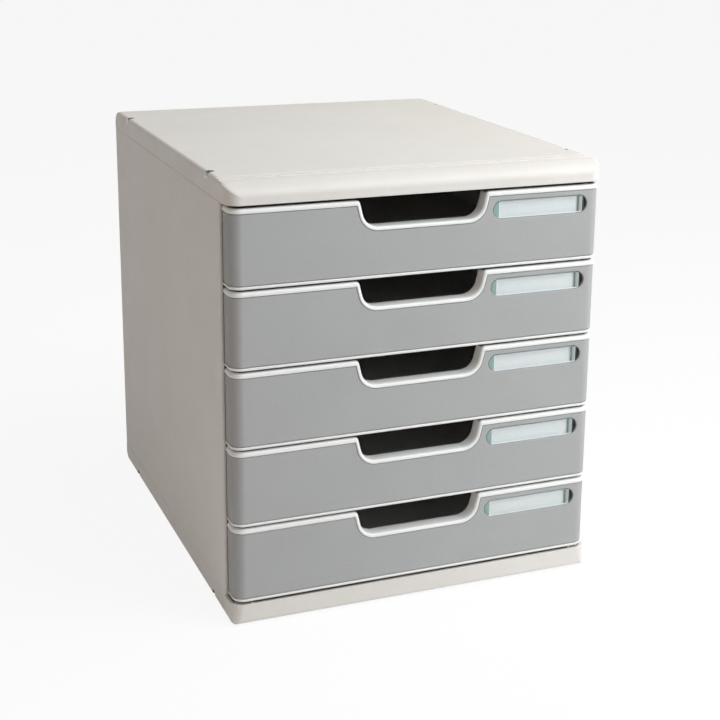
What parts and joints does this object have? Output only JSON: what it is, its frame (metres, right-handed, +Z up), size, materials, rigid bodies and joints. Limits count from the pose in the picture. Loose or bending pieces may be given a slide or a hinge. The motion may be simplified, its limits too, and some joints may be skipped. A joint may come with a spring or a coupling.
{
  "type": "desktop file drawer cabinet",
  "caption": "Free-standing desktop cabinet for A4 paper: moulded casing with sliding drawers, each with a finger cut-out in its front edge and a windowed label pocket.",
  "frame": {"origin": "on the surface that the cabinet stands on, under the middle of its plan", "axes": "+X to the right, -Y towards the drawer fronts, +Z up"},
  "size_m": [0.288, 0.35, 0.324],
  "materials": {
    "carcass_plastic": "fine spark-eroded texture, satin",
    "tray_plastic": "smooth satin moulding",
    "fascia_plastic": "fine matt grain",
    "label_window_clear": "clear, slightly green, polished",
    "label_card_paper": "uncoated white card",
    "foot_rubber": "matt"
  },
  "bodies": {
    "housing": {"top_cover": "carcass_plastic", "base_tray": "carcass_plastic", "left_side_panel": "carcass_plastic", "right_side_panel": "carcass_plastic", "back_panel": "carcass_plastic", "foot_front_left": "foot_rubber", "foot_back_left": "foot_rubber", "foot_front_right": "foot_rubber", "foot_back_right": "foot_rubber"},
    "drawer_1": {"drawer_1_tray": "tray_plastic", "drawer_1_fascia": "fascia_plastic", "drawer_1_label_window": "label_window_clear", "drawer_1_label_card": "label_card_paper"},
    "drawer_2": {"drawer_2_tray": "tray_plastic", "drawer_2_fascia": "fascia_plastic", "drawer_2_label_window": "label_window_clear", "drawer_2_label_card": "label_card_paper"},
    "drawer_3": {"drawer_3_tray": "tray_plastic", "drawer_3_fascia": "fascia_plastic", "drawer_3_label_window": "label_window_clear", "drawer_3_label_card": "label_card_paper"},
    "drawer_4": {"drawer_4_tray": "tray_plastic", "drawer_4_fascia": "fascia_plastic", "drawer_4_label_window": "label_window_clear", "drawer_4_label_card": "label_card_paper"},
    "drawer_5": {"drawer_5_tray": "tray_plastic", "drawer_5_fascia": "fascia_plastic", "drawer_5_label_window": "label_window_clear", "drawer_5_label_card": "label_card_paper"}
  },
  "joints": [
    {"name": "drawer_1_slide", "type": "slide", "parent": "housing", "child": "drawer_1", "axis": [0, -1, 0], "range_m": [0, 0.24]},
    {"name": "drawer_2_slide", "type": "slide", "parent": "housing", "child": "drawer_2", "axis": [0, -1, 0], "range_m": [0, 0.24]},
    {"name": "drawer_3_slide", "type": "slide", "parent": "housing", "child": "drawer_3", "axis": [0, -1, 0], "range_m": [0, 0.24]},
    {"name": "drawer_4_slide", "type": "slide", "parent": "housing", "child": "drawer_4", "axis": [0, -1, 0], "range_m": [0, 0.24]},
    {"name": "drawer_5_slide", "type": "slide", "parent": "housing", "child": "drawer_5", "axis": [0, -1, 0], "range_m": [0, 0.24]}
  ]
}
